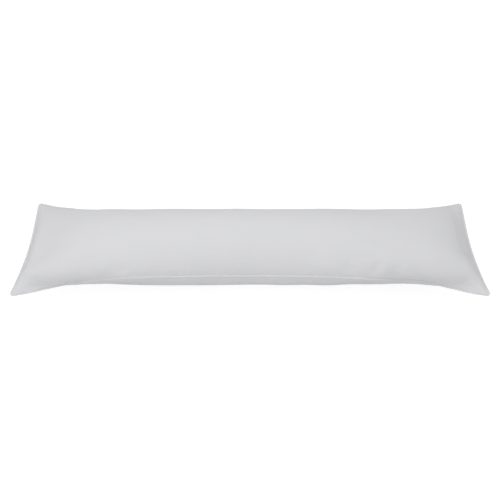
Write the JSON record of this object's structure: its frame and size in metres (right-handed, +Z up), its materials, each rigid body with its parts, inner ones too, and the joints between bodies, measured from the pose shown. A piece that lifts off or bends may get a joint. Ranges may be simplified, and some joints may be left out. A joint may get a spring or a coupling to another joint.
{
  "type": "body pillow",
  "caption": "Long filled bed pillow with a tube-like middle, straight stitched end seams and four flared corners, lying flat on its back.",
  "frame": {"origin": "centre of the bounding box's bottom face, on the surface that the pillow lies on", "axes": "+X along the pillow, +Y across it, +Z up through its crown"},
  "size_m": [1.41, 0.3882, 0.223],
  "materials": {
    "pillow_cloth": "matt plain-woven cotton, pale grey-white"
  },
  "bodies": {
    "root": {"pillow": "pillow_cloth"}
  },
  "joints": []
}
